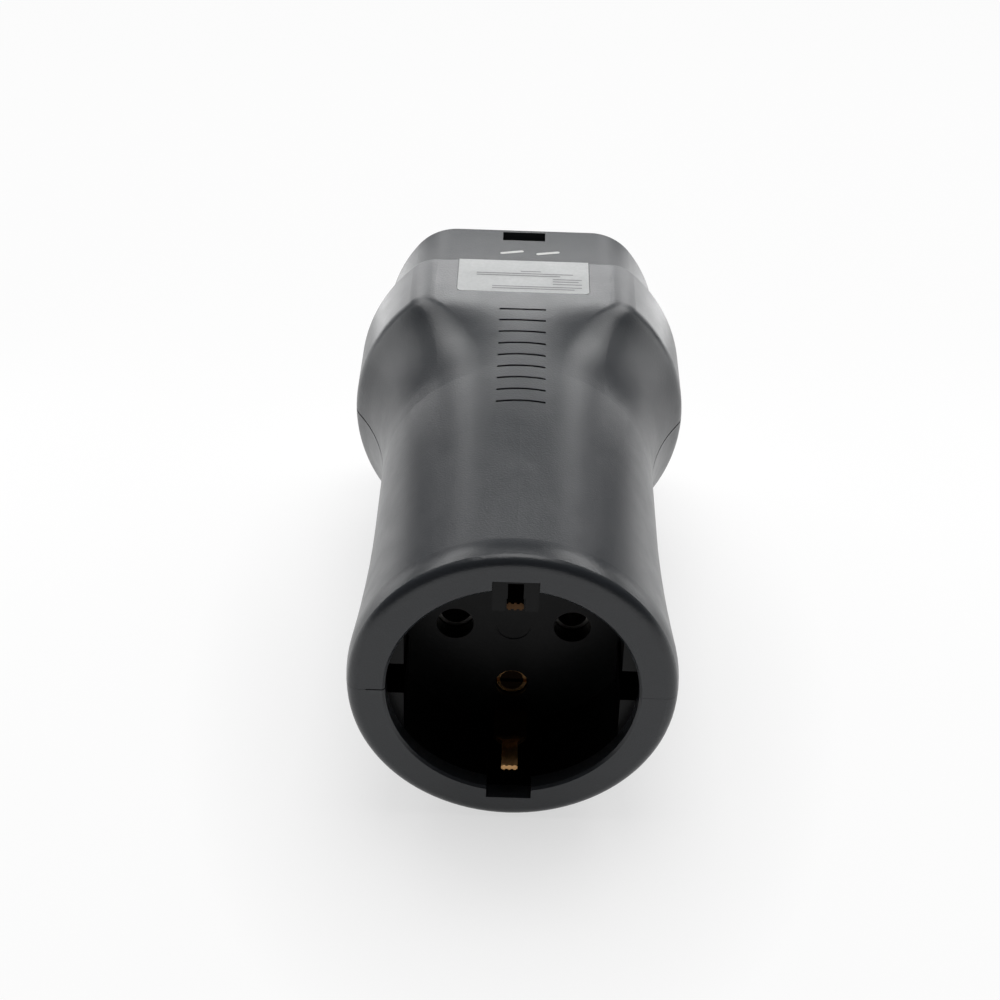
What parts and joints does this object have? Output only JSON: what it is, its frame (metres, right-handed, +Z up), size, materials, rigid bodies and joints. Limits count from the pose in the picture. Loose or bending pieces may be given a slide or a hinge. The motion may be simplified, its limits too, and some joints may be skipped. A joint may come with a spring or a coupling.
{
  "type": "ev charging adapter",
  "caption": "Hand-held adapter from a D-shaped vehicle charging connector to a round earthed household socket, with a waisted two-half housing.",
  "frame": {"origin": "centre of the socket's front face, on the axis", "axes": "+Y along the axis from the socket to the connector's tip, +Z up to the flat side with the label, +X to the right seen from the socket"},
  "size_m": [0.0616, 0.1195, 0.0568],
  "materials": {
    "shell_plastic": "charcoal grey moulding with a fine spark texture",
    "insert_plastic": "black moulding, slight sheen",
    "nose_plastic": "dark grey moulding, smoother than the shells",
    "carrier_plastic": "black insulating moulding",
    "brass": "bare strip brass",
    "plated_brass": "nickel-plated, dull",
    "silvered_copper": "silver-plated, turned",
    "screw_steel": "zinc-plated",
    "label_film": "light grey printed film",
    "gasket_rubber": "soft black rubber",
    "board_laminate": "green solder resist",
    "resistor_body": "blue lacquer",
    "diode_body": "black moulded body",
    "line_pvc": "brown wire cover",
    "neutral_pvc": "blue wire cover",
    "earth_pvc": "green wire cover with a yellow stripe",
    "tinned_wire": "tinned copper"
  },
  "bodies": {
    "root": {"upper_shell": "shell_plastic", "lower_shell": "shell_plastic", "rating_label": "label_film", "socket_insert": "insert_plastic", "socket_base": "insert_plastic", "socket_contact_left": "plated_brass", "socket_contact_right": "plated_brass", "earth_bracket": "brass", "socket_screws": "brass", "nose_housing": "nose_plastic", "contact_carrier": "carrier_plastic", "contact_retainer": "carrier_plastic", "retainer_screws": "screw_steel", "nose_gasket": "gasket_rubber", "signal_board": "board_laminate", "proximity_resistor": "resistor_body", "pilot_resistor": "resistor_body", "pilot_diode": "diode_body", "board_earth_wire": "tinned_wire", "line_wire": "line_pvc", "neutral_wire": "neutral_pvc", "earth_wire": "earth_pvc", "housing_screws": "screw_steel", "line_contact": "silvered_copper", "neutral_contact": "silvered_copper", "earth_contact": "silvered_copper", "pilot_contact": "silvered_copper", "proximity_contact": "silvered_copper"}
  },
  "joints": []
}
